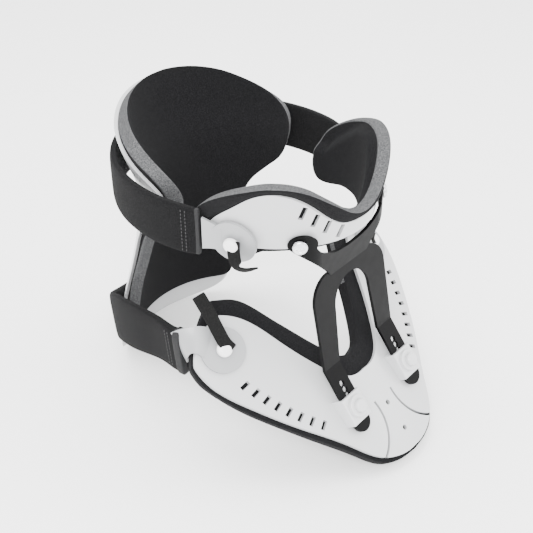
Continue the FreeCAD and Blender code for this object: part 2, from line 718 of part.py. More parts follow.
def arch_curves():
    """The arch seen square on: straight legs, a round hole and round shoulders."""
    half, hole = size("arch_half"), size("hole_half")
    shoulder = 20.0
    leg = half - size("strip_width") - 0.4
    side_top = ARCH_TOP - shoulder
    hole_spring = 42.0
    foot = -CREASE_LAP
    diagonal = math.sqrt(0.5)
    return [
        Part.LineSegment(V(half, foot, 0), V(half, side_top, 0)),
        arc_through(V(half, side_top, 0), V(half - shoulder * (1 - diagonal), side_top + shoulder * diagonal, 0),
                    V(half - shoulder, ARCH_TOP, 0)),
        Part.LineSegment(V(half - shoulder, ARCH_TOP, 0), V(shoulder - half, ARCH_TOP, 0)),
        arc_through(V(-half, side_top, 0), V(shoulder * (1 - diagonal) - half, side_top + shoulder * diagonal, 0),
                    V(shoulder - half, ARCH_TOP, 0)),
        Part.LineSegment(V(-half, side_top, 0), V(-half, foot, 0)),
        Part.LineSegment(V(-half, foot, 0), V(-leg, foot, 0)),
        Part.LineSegment(V(-leg, foot, 0), V(-hole, hole_spring, 0)),
        arc_through(V(hole, hole_spring, 0), V(0, hole_spring + hole, 0), V(-hole, hole_spring, 0)),
        Part.LineSegment(V(hole, hole_spring, 0), V(leg, foot, 0)),
        Part.LineSegment(V(leg, foot, 0), V(half, foot, 0)),
    ]


def arm_plan():
    """Seen from above: a flat middle whose ends bend back round the chin shell."""
    depth, wall, bend, flat = size("arm_depth"), size("arm_wall"), size("arm_bend"), size("arm_flat")
    turn = math.radians(EYE_TURN)
    runs = []
    for offset in (-wall / 2, wall / 2):
        radius = bend - offset
        middle = V(flat, depth + bend, 0)
        start = V(flat, depth + offset, 0)
        mid = middle + V(math.sin(turn / 2), -math.cos(turn / 2), 0) * radius
        end = middle + V(math.sin(turn), -math.cos(turn), 0) * radius
        tip = end + V(math.cos(turn), math.sin(turn), 0) * 16.0
        runs.append((start, mid, end, tip))
    curves = []
    for start, mid, end, tip in runs:
        for side in (1, -1):
            a, b, c, d = [V(side * p.x, p.y, 0) for p in (start, mid, end, tip)]
            curves += [arc_through(a, b, c), Part.LineSegment(c, d)]
        curves.append(Part.LineSegment(V(-start.x, start.y, 0), start))
    for side in (1, -1):
        ends = [V(side * run[3].x, run[3].y, 0) for run in runs]
        curves.append(Part.LineSegment(*ends))
    return curves


def build_yoke():
    wall = size("strip_wall")
    parts = []
    for word, side in SIDES.items():
        x = side * (size("arch_half") - size("strip_width") / 2)
        bar = box("leg_" + word, "sizes.strip_width", CREASE_UP + CREASE_LAP - STRIP_END - 8.75, "sizes.strip_wall",
                  in_strip(x - size("strip_width") / 2, STRIP_END + 8.75, -wall))
        toe = cylinder("toe_" + word, size("strip_width") / 2, "sizes.strip_wall",
                       in_strip(x, STRIP_END + size("strip_width") / 2, -wall))
        parts += [bar, toe]
    arch = extrude("arch", sketch("arch_outline", arch_curves(), arch_frame()), -size("arm_wall"), 0)
    parts.append(arch)
    plan = extrude("arm_plan", sketch("arm_plan_outline", arm_plan()), 85, 140)
    top = ARM_OUTLINE_TOP
    low = ARM_OUTLINE_LOW
    centre = (size("eye_across"), size("eye_height"))
    web = [curve(top), curve(flip(top)), Part.LineSegment(V(low[-1][0], low[-1][1], 0), V(-low[-1][0], low[-1][1], 0)),
           curve(low), curve(flip(low)), Part.LineSegment(V(*top[-1], 0), V(*low[0], 0)),
           Part.LineSegment(V(-top[-1][0], top[-1][1], 0), V(-low[0][0], low[0][1], 0))]
    arms = common("arms_web", plan, front_prism("arms_view", web))
    bosses = []
    for word, side in SIDES.items():
        eye = cylinder("eye_" + word, "sizes.eye_radius", 30,
                       Pla(V(side * centre[0], 30, centre[1]), FRONT_VIEW.inverted()))
        eye.Placement = Pla(V(side * centre[0], 30, centre[1]), Rot(AXIS_X, -90))
        bosses.append(eye)
    eyes = common("arms_eyes", copy_of("arm_plan_again", plan), fuse("eye_pair", bosses))
    upper = fuse("yoke_upper", [arms, eyes])
    upper.Placement = ground_frame()
    holes = []
    for word, side in SIDES.items():
        holes.append(cylinder("eye_hole_" + word, "sizes.screw_radius + 0.6", 14,
                              chin_surface_frame(side * centre[0], centre[1], -3)))
        x = side * size("clamp_across")
        for i, stop in enumerate(INDEX_STOPS):
            holes.append(cylinder("index_%s_%d" % (word, i), 2.4, 8, in_strip(x, stop * INDEX_PITCH, -5)))
    body = fuse("yoke_whole", parts + [upper])
    finish_part(cut("yoke_body", body, fuse("yoke_holes", holes)), "yoke")


def build_pivot(word, side):
    x = side * size("eye_across")
    frame = chin_surface_frame(x, size("eye_height"))
    gap = pivot_gap()
    wall = size("shell_wall")
    head_low = gap + size("arm_wall") + PIVOT_PLAY
    shank = cylinder("pivot_shank_" + word, "sizes.screw_radius", wall + NUT_SEAT + 2.3 + head_low + 0.6,
                     frame.multiply(Pla(V(0, 0, -wall - NUT_SEAT - 2.3), Rot())))
    head = cylinder("pivot_head_" + word, "sizes.screw_head", 2.4, frame.multiply(Pla(V(0, 0, head_low), Rot())))
    head = rounded("pivot_head_round_" + word, head, 1.5, top_edge(frame, head_low + 2.4))
    slot_a = box("pivot_slot_a_" + word, 7, 1.2, 3, frame.multiply(Pla(V(-3.5, -0.6, head_low + 1.3), Rot())))
    slot_b = box("pivot_slot_b_" + word, 1.2, 7, 3, frame.multiply(Pla(V(-0.6, -3.5, head_low + 1.3), Rot())))
    screw = cut("pivot_screw_cut_" + word, fuse("pivot_screw_blank_" + word, [shank, head]),
                fuse("pivot_slots_" + word, [slot_a, slot_b]))
    finish_part(screw, "pivot_screw_" + word)
    ring = cylinder("spacer_rim_" + word, 4.6, gap - PIVOT_PLAY - SPACER_SEAT,
                    frame.multiply(Pla(V(0, 0, SPACER_SEAT), Rot())))
    eye = cylinder("spacer_eye_" + word, "sizes.screw_radius + 0.05", 6, frame.multiply(Pla(V(0, 0, -1), Rot())))
    finish_part(cut("spacer_" + word, ring, eye), "pivot_spacer_" + word)
    nut = cylinder("nut_rim_" + word, 5.0, 2.2, frame.multiply(Pla(V(0, 0, -wall - NUT_SEAT - 2.2), Rot())))
    bore = cylinder("nut_eye_" + word, "sizes.screw_radius + 0.01", 6, frame.multiply(Pla(V(0, 0, -wall - 5), Rot())))
    finish_part(cut("nut_" + word, nut, bore), "pivot_nut_" + word)


def pivot_gap():
    """Free space between the chin shell and the yoke's eye, along the screw."""
    turn = math.radians(EYE_TURN)
    outwards = V(math.sin(turn), -math.cos(turn), 0)
    bend = V(size("arm_flat"), size("arm_depth") + size("arm_bend"), 0)
    seat = ground_frame().inverse().multiply(chin_surface_frame(size("eye_across"), size("eye_height"))).Base
    return (bend - V(seat.x, seat.y, 0)).dot(outwards) + size("arm_bend") - size("arm_wall") / 2


# ---------------------------------------------------------------- assembly

def lower_neck(side):
    """Stations of the lower tab's neck, from the stud over the plate's wing down to the strap."""
    near = chest_surface_frame(side * CHEST_STUD[0], CHEST_STUD[1]).multiply(
        Pla(V(side * 7, 9, STUD_SEAT), Rot(AXIS_Z, side * -38)))
    rim = station(side, V(104.0, 99.6, 51.6), V(0.587, 0.70, 0.30), V(0.3, -0.65, 0.7))
    turn = station(side, V(109.0, 108.0, 47.0), V(0.15, 0.85, -0.5), V(0.92, -0.25, 0.25))
    sleeve = station(side, V(99.5, 114.0, 36.5), V(-0.35, 0.85, -0.38), V(0.94, 0.33, 0))
    return [(near, 20), (rim, 20), (turn, 22), (sleeve, 25)]


def build_lower_fittings():
    for word, side in SIDES.items():
        build_clamp(word, side)
        frame = chest_surface_frame(side * CHEST_STUD[0], CHEST_STUD[1])
        build_stud("chest", word, frame, size("shell_wall"), STUD_SEAT)
        build_tab("lower", word, frame, lower_neck(side), STUD_SEAT)
        build_pull("lower", word, frame, STUD_SEAT, side * 25, 22, 9)
    finish_part(fuse("clamp_rivet_set", [clamp_rivet("rivet_%+d_%d" % (side, i), side * a, b, RIVET_RADIUS)
                                         for side in SIDES.values() for i, (a, b) in enumerate(RIVET_PLACES)]),
                "clamp_rivets")


def upper_neck(side):
    """Stations of the upper tab's neck, from the stud back along the shell to the strap."""
    near = station(side, V(73.3, 98.8, 124), V(0.31, 0.95, 0), V(0.94, -0.31, -0.13))
    middle = station(side, V(76.4, 105.8, 125.5), V(0.46, 0.89, 0), V(0.89, -0.46, 0))
    sleeve = station(side, V(80.0, 111.6, 127), V(0.4, 0.92, 0), V(0.92, -0.4, 0))
    return [(near, 20), (middle, 21), (sleeve, 25)]


def build_upper_fittings():
    for word, side in SIDES.items():
        frame = chin_stud_frame(side)
        build_stud("chin", word, frame, size("shell_wall") + CHIN_FLANGE_PLAY, CHIN_STUD_SEAT, CHIN_CAP_GAP)
        build_pivot(word, side)
        build_tab("upper", word, frame, upper_neck(side), CHIN_STUD_SEAT)
        build_pull("upper", word, frame, CHIN_STUD_SEAT, 180 - side * 8, 14, 8)


build_chest()
build_lower_fittings()
lower_ring = strap_ring("lower_ring", LOWER_STRAP_MIDDLE, LOWER_STRAP_ACROSS, LOWER_STRAP_DEEP,
                        size("sleeve_wall"), -80, 80)
build_straps("lower", cut("lower_ring_seated", lower_ring, shell_seat("lower_ring_seat", 0.3)),
             [curve(LOWER_TOP_EDGE), curve(LOWER_BOTTOM_EDGE)]
             + polygon([LOWER_TOP_EDGE[-1], LOWER_BOTTOM_EDGE[0]])[:1]
             + polygon([LOWER_BOTTOM_EDGE[-1], LOWER_TOP_EDGE[0]])[:1], lower_neck)
build_back()
build_yoke()
build_chin()
build_upper_fittings()
build_straps("upper", strap_ring("upper_ring", UPPER_STRAP_MIDDLE, UPPER_STRAP_ACROSS, UPPER_STRAP_DEEP,
                                 size("sleeve_wall"), 80, 170), polygon(UPPER_STRAP_OUTLINE), upper_neck)
doc.recompute()

faults = [obj.Label for obj in doc.Objects if "Invalid" in obj.State or "Error" in obj.State]
for obj in finished:
    shape = obj.Shape
    if shape.isNull() or not shape.isValid() or not shape.Solids:
        faults.append(obj.Label)
if faults:
    raise RuntimeError("failed: " + ", ".join(faults))
for obj in finished:
    obj.Shape.exportStep("parts/%s.step" % obj.Label)
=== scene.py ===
import math

import bpy
from mathutils import Matrix, Vector


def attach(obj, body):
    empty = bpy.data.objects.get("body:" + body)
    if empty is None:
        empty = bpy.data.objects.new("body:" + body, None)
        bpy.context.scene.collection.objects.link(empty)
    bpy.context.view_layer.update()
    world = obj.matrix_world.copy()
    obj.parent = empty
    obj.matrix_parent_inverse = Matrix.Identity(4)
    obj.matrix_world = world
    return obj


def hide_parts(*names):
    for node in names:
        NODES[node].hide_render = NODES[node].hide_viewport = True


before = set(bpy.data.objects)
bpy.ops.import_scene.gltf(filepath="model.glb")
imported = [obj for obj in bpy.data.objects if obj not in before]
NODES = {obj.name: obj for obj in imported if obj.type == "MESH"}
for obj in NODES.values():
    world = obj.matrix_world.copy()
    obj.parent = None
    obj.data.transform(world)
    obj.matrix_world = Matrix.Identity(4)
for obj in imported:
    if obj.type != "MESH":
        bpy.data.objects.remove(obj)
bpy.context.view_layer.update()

SIDES = {"right": -1, "left": 1}
DEPTH_MIDDLE = 118.25
GROUND_DROP = 60.9


def at(x, y, z):
    """Millimetres from the lock buttons' line to metres in the row frame."""
    return Vector((x, y - DEPTH_MIDDLE, z + GROUND_DROP)) / 1000.0


# ---------------------------------------------------------------- materials

def material(name, color, roughness, metallic=0.0, coat=0.0, sheen=0.0, specular=0.5,
             speckle=None, grain=None, rough_grain=None):
    """speckle = (scale, second colour, low, high); grain = (scale, strength, distance)."""
    mat = bpy.data.materials.new(name)
    mat.use_nodes = True
    tree = mat.node_tree
    shader = tree.nodes["Principled BSDF"]
    shader.inputs["Base Color"].default_value = (*color, 1)
    shader.inputs["Roughness"].default_value = roughness
    shader.inputs["Metallic"].default_value = metallic
    shader.inputs["Coat Weight"].default_value = coat
    shader.inputs["Coat Roughness"].default_value = 0.12
    shader.inputs["Sheen Weight"].default_value = sheen
    shader.inputs["Specular IOR Level"].default_value = specular
    where = tree.nodes.new("ShaderNodeTexCoord")

    def noise(scale, detail=3.0):
        node = tree.nodes.new("ShaderNodeTexNoise")
        node.inputs["Scale"].default_value = scale
        node.inputs["Detail"].default_value = detail
        tree.links.new(where.outputs["Object"], node.inputs["Vector"])
        return node

    if speckle:
        scale, other, low, high = speckle
        ramp = tree.nodes.new("ShaderNodeValToRGB")
        ramp.color_ramp.elements[0].position = low
        ramp.color_ramp.elements[1].position = high
        ramp.color_ramp.elements[0].color = (*color, 1)
        ramp.color_ramp.elements[1].color = (*other, 1)
        tree.links.new(noise(scale).outputs["Fac"], ramp.inputs["Fac"])
        tree.links.new(ramp.outputs["Color"], shader.inputs["Base Color"])
    if rough_grain:
        scale, low, high = rough_grain
        spread = tree.nodes.new("ShaderNodeMapRange")
        spread.inputs["To Min"].default_value = low
        spread.inputs["To Max"].default_value = high
        tree.links.new(noise(scale).outputs["Fac"], spread.inputs["Value"])
        tree.links.new(spread.outputs["Result"], shader.inputs["Roughness"])
    if grain:
        scale, strength, distance = grain
        bump = tree.nodes.new("ShaderNodeBump")
        bump.inputs["Strength"].default_value = strength
        bump.inputs["Distance"].default_value = distance
        tree.links.new(noise(scale, 4.0).outputs["Fac"], bump.inputs["Height"])
        tree.links.new(bump.outputs["Normal"], shader.inputs["Normal"])
    return mat


WHITE = material("white_plastic", (0.46, 0.465, 0.472), 0.32, coat=0.25,
                 grain=(260, 0.05, 0.0004), rough_grain=(90, 0.28, 0.4))
BRIGHT = material("white_housing", (0.52, 0.525, 0.532), 0.3, coat=0.3,
                  grain=(300, 0.05, 0.0004), rough_grain=(120, 0.26, 0.38))
PALE = material("pale_tab", (0.28, 0.285, 0.292), 0.38, coat=0.15,
                grain=(400, 0.06, 0.0003), rough_grain=(150, 0.33, 0.46))
KNOB = material("white_stud", (0.88, 0.88, 0.88), 0.22, coat=0.4,
                grain=(200, 0.03, 0.0003), rough_grain=(120, 0.18, 0.28))
FABRIC = material("black_fabric", (0.0045, 0.0045, 0.005), 0.96, sheen=0.015, specular=0.06,
                  speckle=(1500, (0.013, 0.013, 0.0138), 0.4, 0.72), grain=(1900, 0.8, 0.0006))
SLEEVE = material("sleeve_fabric", (0.0035, 0.0035, 0.0038), 0.95, sheen=0.015, specular=0.06,
                  speckle=(1300, (0.012, 0.012, 0.0125), 0.4, 0.75), grain=(1600, 0.9, 0.0008))
# Grey foam: bare cut edges of the back and chin pads, and a painted highlight along the chest pad's neck
# edge.
GREY_FOAM_AND_HIGHLIGHT = material("grey_foam_and_edge_highlight", (0.038, 0.0385, 0.04), 0.96, specular=0.08,
                speckle=(1100, (0.1, 0.101, 0.103), 0.36, 0.68), grain=(1100, 0.9, 0.0008))
WEB = material("black_webbing", (0.0035, 0.0035, 0.0035), 0.88, sheen=0.02, specular=0.12,
               speckle=(1700, (0.016, 0.016, 0.016), 0.5, 0.75), grain=(1700, 1.0, 0.0008))
BINDING = material("binding", (0.006, 0.006, 0.0065), 0.8, specular=0.3,
                   speckle=(2400, (0.02, 0.02, 0.021), 0.4, 0.7), grain=(2600, 0.6, 0.0004))
THREAD = material("thread", (0.018, 0.018, 0.019), 0.7, grain=(3000, 0.5, 0.0002),
                  speckle=(2000, (0.035, 0.035, 0.036), 0.4, 0.6))
YOKE = material("black_yoke", (0.0018, 0.0018, 0.002), 0.5, coat=0.0, specular=0.08,
                grain=(700, 0.08, 0.0003), rough_grain=(160, 0.4, 0.54))
CHROME = material("plated_metal", (0.72, 0.72, 0.73), 0.2, metallic=1.0,
                  grain=(500, 0.04, 0.0002), rough_grain=(200, 0.14, 0.3))

NODE_FINISH = {
    "chest_plate": WHITE, "back_shell": WHITE, "chin_shell": WHITE, "strap_keeper_lower": WHITE,
    "strap_keeper_upper": WHITE, "yoke": YOKE, "clamp_rivets": CHROME,
}
for word in SIDES:
    for name in ("clamp_housing", "lock_button"):
        NODE_FINISH["%s_%s" % (name, word)] = BRIGHT
    for name in ("chest_stud", "chest_stud_cap", "chin_stud", "chin_stud_cap"):
        NODE_FINISH["%s_%s" % (name, word)] = KNOB
    for name in ("pivot_screw", "pivot_spacer", "pivot_nut", "lock_spring"):
        NODE_FINISH["%s_%s" % (name, word)] = CHROME
    for name in ("lower_tab", "upper_tab"):
        NODE_FINISH["%s_%s" % (name, word)] = PALE
SOFTENED = {"chest_plate": 0.7, "back_shell": 0.6, "chin_shell": 0.8, "yoke": 0.4, "strap_keeper_lower": 0.8,
            "strap_keeper_upper": 0.8, "clamp_housing": 0.2, "lower_tab": 0.6, "upper_tab": 0.6}

for name, finish in NODE_FINISH.items():
    node = NODES[name]
    node.data.materials.clear()
    node.data.materials.append(finish)
    width = SOFTENED.get(name, SOFTENED.get(name.rsplit("_", 1)[0]))
    if width:
        bevel = node.modifiers.new("rounded_edges", "BEVEL")
        bevel.width = width / 1000.0
        bevel.segments = 3
        bevel.limit_method = "ANGLE"
        bevel.angle_limit = math.radians(50)
        bevel.harden_normals = True
        bevel.use_clamp_overlap = True


# ---------------------------------------------------------------- mesh helpers

SPLINE_STEPS = 24            # fine steps between two given points


def add_piece(name, vertices, faces, finishes, index=None, levels=0, body="chest", slot=None, stands_for=()):
    mesh = bpy.data.meshes.new(name)
    mesh.from_pydata([tuple(v) for v in vertices], [], faces)
    for finish in finishes:
        mesh.materials.append(finish)
    if index:
        mesh.polygons.foreach_set("material_index", index)
    mesh.polygons.foreach_set("use_smooth", [True] * len(mesh.polygons))
    mesh.update()
    obj = bpy.data.objects.new(name, mesh)
    bpy.context.scene.collection.objects.link(obj)
    if levels:
        divide = obj.modifiers.new("divide", "SUBSURF")
        divide.levels = levels
        divide.render_levels = levels
    if body:
        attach(obj, body)
    if stands_for:
        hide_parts(*stands_for)
    return obj


def smooth_value(keys, x):
    """A smooth curve through (position, value) keys."""
    if x <= keys[0][0]:
        return keys[0][1]
    if x >= keys[-1][0]:
        return keys[-1][1]
    i = max(k for k in range(len(keys) - 1) if keys[k][0] <= x)
    (x0, y0), (x1, y1) = keys[i], keys[i + 1]
    before = keys[i - 1] if i > 0 else (2 * x0 - x1, 2 * y0 - y1)
    after = keys[i + 2] if i + 2 < len(keys) else (2 * x1 - x0, 2 * y1 - y0)
    m0 = (y1 - before[1]) / (x1 - before[0]) * (x1 - x0)
    m1 = (after[1] - y0) / (after[0] - x0) * (x1 - x0)
    t = (x - x0) / (x1 - x0)
    return ((2 * t ** 3 - 3 * t ** 2 + 1) * y0 + (t ** 3 - 2 * t ** 2 + t) * m0
            + (-2 * t ** 3 + 3 * t ** 2) * y1 + (t ** 3 - t ** 2) * m1)


def spline(points, count):
    """Evenly spread points on a smooth curve through the given ones."""
    points = [Vector(p) for p in points]
    fine = []
    n = len(points)
    for i in range(n - 1):
        p1, p2 = points[i], points[i + 1]
        p0 = points[i - 1] if i else p1 * 2 - p2
        p3 = points[i + 2] if i + 2 < n else p2 * 2 - p1
        for k in range(SPLINE_STEPS):
            t = k / SPLINE_STEPS
            fine.append(0.5 * (2 * p1 + (p2 - p0) * t + (2 * p0 - 5 * p1 + 4 * p2 - p3) * t * t
                               + (3 * p1 - p0 - 3 * p2 + p3) * t ** 3))
    fine.append(points[-1])
    lengths = [0.0]
    for a, b in zip(fine, fine[1:]):
        lengths.append(lengths[-1] + (b - a).length)
    out, j = [], 0
    for k in range(count):
        want = lengths[-1] * k / (count - 1)
        while j < len(lengths) - 2 and lengths[j + 1] < want:
            j += 1
        span = lengths[j + 1] - lengths[j] or 1.0
        out.append(fine[j].lerp(fine[j + 1], (want - lengths[j]) / span))
    return out


def slab(name, columns, rows, place, thick, rim, edge_foam_and_highlight, **options):
    """A foam sheet over a grid. place(i, j, depth) gives a point depth millimetres below the outer face.
    The cut edge stands out by the rim round the grid; the edge function (step, i, j) gives 1 for the grey
    finish, where step counts the rows of the cut edge from the outer face inwards. The grey finish is bare
    foam on the back and chin pads and a painted highlight on the chest pad's neck edge."""
    verts, faces, index = [], [], []
    skin = {}
    for layer, depth in ((0, 0.0), (1, thick)):
        for i in range(columns):
            for j in range(rows):
                skin[layer, i, j] = len(verts)
                verts.append(place(i, j, depth))
    for i in range(columns - 1):
        for j in range(rows - 1):
            a, b, c, d = ((i, j), (i + 1, j), (i + 1, j + 1), (i, j + 1))
            faces.append([skin[0, *p] for p in (a, b, c, d)])
            faces.append([skin[1, *p] for p in (d, c, b, a)])
            index += [0, 0]
    loop = ([(i, 0) for i in range(columns)] + [(columns - 1, j) for j in range(1, rows)]
            + [(i, rows - 1) for i in range(columns - 2, -1, -1)] + [(0, j) for j in range(rows - 2, 0, -1)])
    count = len(loop)
    outward = []
    total = 0.0
    for k, (i, j) in enumerate(loop):
        here = verts[skin[0, i, j]]
        normal = here - verts[skin[1, i, j]]
        along = verts[skin[0, *loop[(k + 1) % count]]] - verts[skin[0, *loop[k - 1]]]
        push = along.cross(normal)
        push = push.normalized() if push.length > 1e-12 else Vector((0, 0, 0))
        inner = (min(max(i, 1), columns - 2), min(max(j, 1), rows - 2))
        total += push.dot(here - verts[skin[0, *inner]])
        outward.append(push)
    sign = 1 if total > 0 else -1
    rings = [[skin[0, *p] for p in loop]]
    for depth, out in ((0.25 * rim, 0.75 * rim), (rim, rim), (thick * 0.5, rim), (thick - rim, rim),
                       (thick - 0.25 * rim, 0.75 * rim)):
        ring = []
        for (i, j), push in zip(loop, outward):
            top, low = verts[skin[0, i, j]], verts[skin[1, i, j]]
            ring.append(len(verts))
            verts.append(top.lerp(low, depth / thick) + push * (sign * out / 1000.0))
        rings.append(ring)
    rings.append([skin[1, *p] for p in loop])
    for step, (first, second) in enumerate(zip(rings, rings[1:])):
        for k in range(count):
            nxt = (k + 1) % count
            quad = [first[k], second[k], second[nxt], first[nxt]]
            faces.append(quad if sign > 0 else quad[::-1])
            index.append(edge_foam_and_highlight(step, *loop[k]))
    return add_piece(name, verts, faces, [FABRIC, GREY_FOAM_AND_HIGHLIGHT], index, levels=1, **options)


def superellipse(count, power):
    out = []
    for k in range(count):
        a = 2 * math.pi * k / count
        c, s = math.cos(a), math.sin(a)
        out.append((math.copysign(abs(c) ** (2 / power), c), math.copysign(abs(s) ** (2 / power), s)))
    return out


def sweep(name, path, ups, half_width, half_wall, finish, power=4.0, count=28, levels=1, **options):
    """A band along a path: ups point across its width; half sizes in millimetres may vary along it."""
    verts, faces = [], []
    n = len(path)
    profile = superellipse(count, power)
    for k, (point, up) in enumerate(zip(path, ups)):
        along = (path[min(k + 1, n - 1)] - path[max(k - 1, 0)]).normalized()
        out = along.cross(up).normalized()
        across = up.normalized()
        w = half_width(k / (n - 1)) if callable(half_width) else half_width
        t = half_wall(k / (n - 1)) if callable(half_wall) else half_wall
        for c, s in profile:
            verts.append(point + (across * (c * w) + out * (s * t)) / 1000.0)
    for k in range(n - 1):
        for m in range(count):
            nxt = (m + 1) % count
            faces.append([k * count + m, k * count + nxt, (k + 1) * count + nxt, (k + 1) * count + m])
    for end, order in ((0, -1), (n - 1, 1)):
        base = end * count
        centre = sum((verts[base + m] for m in range(count)), Vector()) / count
        ring = len(verts)
        for m in range(count):
            verts.append(centre.lerp(verts[base + m], 0.8))
        verts.append(centre)
        middle = len(verts) - 1
        for m in range(count):
            nxt = (m + 1) % count
            quad = [base + m, base + nxt, ring + nxt, ring + m]
            tri = [ring + m, ring + nxt, middle]
            faces.append(quad if order > 0 else quad[::-1])
            faces.append(tri if order > 0 else tri[::-1])
    return add_piece(name, verts, faces, [finish], levels=levels, **options)


# ---------------------------------------------------------------- back pad

# Keys by height: inner radius, centre and side edge of the back pad.
BACK_INNER = [(-75, 86), (-40, 83), (20, 75.5), (60, 66), (92, 60), (124, 58.7), (151, 67.4), (172, 71.5),
              (195, 75)]
BACK_MIDDLE = [(-75, 160), (-40, 160), (20, 158), (60, 157), (92, 158), (124, 160), (151, 160), (172, 160.5),
               (195, 161)]
BACK_SIDE = [(-34.5, 236), (-33.5, 226), (-31, 221.5), (-25, 218.5), (-8, 215.5), (16, 210.5), (44, 203.5),
             (70, 195), (85, 186.5), (99, 172.5), (113, 157), (126, 150), (140, 150.5), (149.5, 157.5),
             (156, 167), (161.5, 178), (166, 190), (170.5, 202), (175, 213), (180, 227), (184.3, 240)]
BACK_LOW, BACK_HIGH = -34.0, 183.8
BACK_CUT_SLANT = 0.75          # how far the upper cut edge runs in for each millimetre of depth
HALF_FOAM = 5


def back_edge_angle(z):
    middle = smooth_value(BACK_MIDDLE, z)
    radius = smooth_value(BACK_INNER, z) + HALF_FOAM
    return math.acos(max(-1, min(1, (smooth_value(BACK_SIDE, z) - middle) / radius)))


BACK_ROWS, BACK_COLUMNS = 84, 41


def back_place(i, j, depth):
    t = 0.5 - 0.5 * math.cos(math.pi * (0.004 + 0.992 * j / (BACK_ROWS - 1)))
    z = BACK_LOW + (BACK_HIGH - BACK_LOW) * t
    undercut = BACK_CUT_SLANT * max(0.0, min(1.0, (z - 95) / 25)) / (smooth_value(BACK_INNER, z) + HALF_FOAM)
    angle = (back_edge_angle(z) - depth * undercut) * (2 * i / (BACK_COLUMNS - 1) - 1)
    z -= depth * BACK_CUT_SLANT * max(0.0, min(1.0, (z - 150) / 25))
    radius = smooth_value(BACK_INNER, z) + 0.1 + depth
    return at(radius * math.sin(angle), smooth_value(BACK_MIDDLE, z) + radius * math.cos(angle), z)


back_pad = slab("back_pad_foam", BACK_COLUMNS, BACK_ROWS, back_place, 9.7, 1.1,
                lambda step, i, j: 1 if step > 0 else 0,
                body="chest", slot="black_pad", stands_for=["back_pad"])


# ---------------------------------------------------------------- chin pad

CHIN_ACROSS = [(105, 71.5), (120, 73.8), (140, 76.5), (178, 81.0)]
CHIN_DEEP = [(105, 86.5), (120, 89.8), (140, 93.0), (178, 98.0)]
# Heights by distance from the front: the pad's two edges and the shell's lip.
CHIN_TOP = [(40, 138.5), (42.2, 144), (44.6, 150), (48.9, 157.5), (54.7, 165), (60.8, 169), (67, 170.5),
            (76.2, 169.8), (90, 164), (101, 157.8), (112, 149.5), (119, 141.5), (123, 132), (124.4, 125)]
CHIN_LOW = [(40, 117.5), (60, 116.8), (85, 113.3), (103, 108), (114, 107), (120, 110), (123.3, 116),
            (124.4, 122)]
CHIN_SHELL_TOP = [(20, 130), (34, 133.5), (40, 143), (46, 154), (54, 162.5), (64, 165.5), (76, 162),
                  (90, 151.5), (104, 140), (112, 131)]
CHIN_MIDDLE = 125
CHIN_MID_RADIUS = 85.0         # front to back radius halfway through the foam
CHIN_OUTER_RADIUS = 93
CHIN_COLUMNS, CHIN_ROWS = 97, 17
CHIN_END = 124.2


def chin_place(i, j, depth):
    t = -math.cos(math.pi * (0.015 + 0.97 * i / (CHIN_COLUMNS - 1)))
    side = math.copysign(1, t)
    end = math.acos((CHIN_MIDDLE - CHIN_END) / CHIN_MID_RADIUS)
    angle = abs(t) * end
    y_mid = CHIN_MIDDLE - CHIN_MID_RADIUS * math.cos(angle)
    high, low = smooth_value(CHIN_TOP, y_mid), smooth_value(CHIN_LOW, y_mid)
    z = low + (high - low) * j / (CHIN_ROWS - 1)
    lip = smooth_value(CHIN_SHELL_TOP, min(112, CHIN_MIDDLE - CHIN_OUTER_RADIUS * math.cos(angle)))
    flare = max(0.0, min(1.0, (z - lip + 3.0) / 8.0))
    flare = 5.5 * flare * flare * (3 - 2 * flare)
    inset = 3.1 + depth - flare
    a, b = smooth_value(CHIN_ACROSS, z) - inset, smooth_value(CHIN_DEEP, z) - inset
    return at(side * a * math.sin(angle), CHIN_MIDDLE - b * math.cos(angle), z)


chin_pad = slab("chin_pad_foam", CHIN_COLUMNS, CHIN_ROWS, chin_place, 9.6, 1.1,
                lambda step, i, j: 1 if step > 0 and j > 0 else 0,
                body="chin", slot="black_pad", stands_for=["chin_pad"])


# ---------------------------------------------------------------- chest pad

SLOPE = math.radians(43)
DROP = 15.4
CROWN = 350.0
PAD_LOWER = [(0, -57.8), (19, -55.3), (34.4, -47.2), (52, -24.4), (76, 7.2), (101, 44), (115.2, 74.4),
             (116.9, 90)]
PAD_WING = [(116.9, 91), (111.6, 99.2), (102.2, 107.6), (91.2, 117), (77.9, 125)]
PAD_NECK = [(0, 30), (12.6, 35), (26.2, 54.2), (42.3, 83.1), (58.6, 112.6), (77.3, 125)]
CHEST_COLUMNS, CHEST_ROWS = 121, 15
LOWER_RUN = spline([(x, y, 0) for x, y in PAD_LOWER], 61)
NECK_RUN = spline([(x, y, 0) for x, y in PAD_NECK], 61)
WING_RUN = spline([(x, y, 0) for x, y in PAD_WING], CHEST_ROWS)


def chest_at(u, v, depth):
    lean = math.asin(u / CROWN)
    rise = CROWN * (math.cos(lean) - 1) - depth * math.cos(lean)
    x = u - depth * math.sin(lean)
    y = DROP * math.sin(SLOPE) + v * math.cos(SLOPE) - rise * math.sin(SLOPE)
    z = -DROP * math.cos(SLOPE) + v * math.sin(SLOPE) + rise * math.cos(SLOPE)
    return at(x, y, z)


def chest_place(i, j, depth):
    half = (CHEST_COLUMNS - 1) // 2
    side = 1 if i >= half else -1
    k = abs(i - half)
    low, high = LOWER_RUN[k], NECK_RUN[k]
    t = j / (CHEST_ROWS - 1)
    point = low.lerp(high, t)
    weight = (k / half) ** 6
    straight = LOWER_RUN[half].lerp(NECK_RUN[half], t)
    point = point + (WING_RUN[j] - straight) * weight
    return chest_at(side * point.x, point.y, 3.05 + depth)


